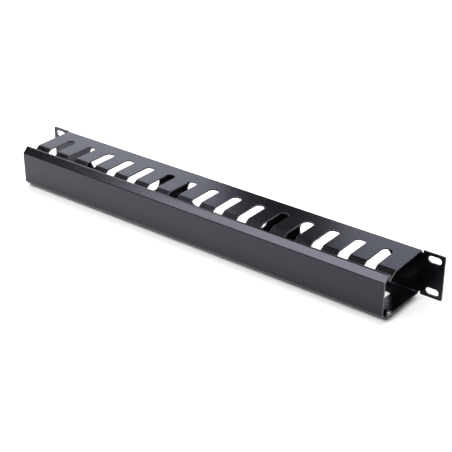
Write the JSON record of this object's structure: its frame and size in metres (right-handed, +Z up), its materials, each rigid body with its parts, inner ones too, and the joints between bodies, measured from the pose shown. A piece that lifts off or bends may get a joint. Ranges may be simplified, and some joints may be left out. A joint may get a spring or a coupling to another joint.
{
  "type": "horizontal cable manager",
  "caption": "One-unit rack cable manager: a folded sheet duct with slotted flanges, windowed back, mounting ears and a full-length clip-on front cover.",
  "frame": {"origin": "middle of the rear face of the ears, which is the face that lies on the rack's rails", "axes": "+X along the rack, +Y into the rack, +Z up; the cover faces -Y"},
  "size_m": [0.4826, 0.064, 0.0444],
  "materials": {
    "body_coat": "fine-textured satin black powder coat on steel sheet",
    "cover_coat": "fine-textured satin black powder coat on steel sheet"
  },
  "bodies": {
    "body": {"duct_body": "body_coat"},
    "cover": {"cover": "cover_coat"}
  },
  "joints": [
    {"name": "cover_slide", "type": "slide", "parent": "body", "child": "cover", "axis": [1, 0, 0], "range_m": [-0.42, 0.42]}
  ]
}
